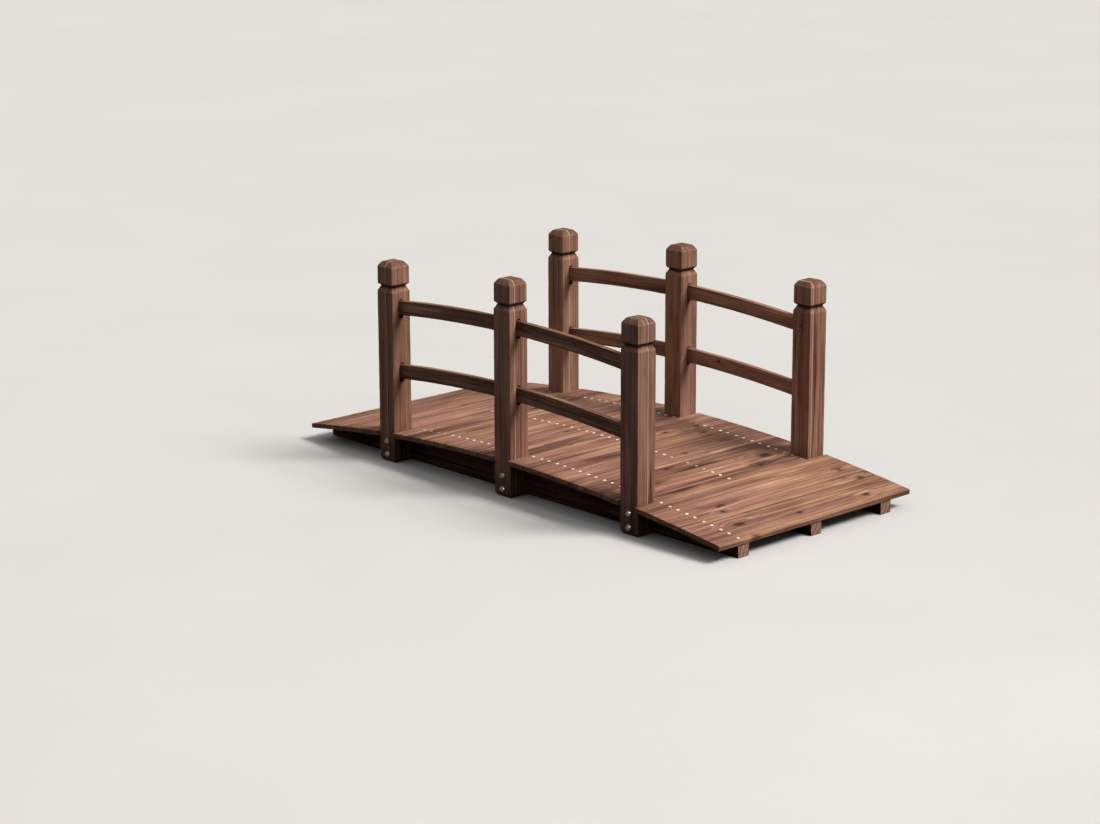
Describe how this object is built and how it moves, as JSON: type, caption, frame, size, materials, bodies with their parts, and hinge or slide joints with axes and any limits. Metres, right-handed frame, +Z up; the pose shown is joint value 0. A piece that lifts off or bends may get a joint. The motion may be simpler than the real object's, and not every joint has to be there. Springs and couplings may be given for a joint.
{
  "type": "arched wooden garden footbridge with railings",
  "caption": "Low arched footbridge in stained softwood: cross boards on flat-bottomed beams, with square posts and curved rails along both sides.",
  "frame": {"origin": "on the ground under the middle of the deck", "axes": "+X along the bridge, +Y across it to the far railing, +Z up"},
  "size_m": [1.4948, 0.67, 0.548],
  "materials": {
    "deck": "stained softwood boards, lightly weathered",
    "beams": "stained softwood, sawn",
    "posts": "stained softwood, planed",
    "rails": "stained softwood, planed",
    "fixings": "zinc plated screws and dome-headed bolts"
  },
  "bodies": {
    "root": {"deck_board_01": "deck", "deck_board_02": "deck", "deck_board_03": "deck", "deck_board_04": "deck", "deck_board_05": "deck", "deck_board_06": "deck", "deck_board_07": "deck", "deck_board_08": "deck", "deck_board_09": "deck", "deck_board_10": "deck", "deck_board_11": "deck", "deck_board_12": "deck", "deck_board_13": "deck", "deck_board_14": "deck", "deck_board_15": "deck", "deck_board_16": "deck", "deck_board_17": "deck", "deck_board_18": "deck", "deck_board_19": "deck", "deck_board_20": "deck", "deck_board_21": "deck", "deck_board_22": "deck", "deck_board_23": "deck", "deck_board_24": "deck", "deck_board_25": "deck", "deck_board_26": "deck", "deck_board_27": "deck", "far_beam": "beams", "far_left_mid_rail": "rails", "far_left_post": "posts", "far_left_top_rail": "rails", "far_middle_post": "posts", "far_right_mid_rail": "rails", "far_right_post": "posts", "far_right_top_rail": "rails", "middle_beam": "beams", "near_beam": "beams", "near_left_mid_rail": "rails", "near_left_post": "posts", "near_left_top_rail": "rails", "near_middle_post": "posts", "near_right_mid_rail": "rails", "near_right_post": "posts", "near_right_top_rail": "rails"}
  },
  "joints": []
}
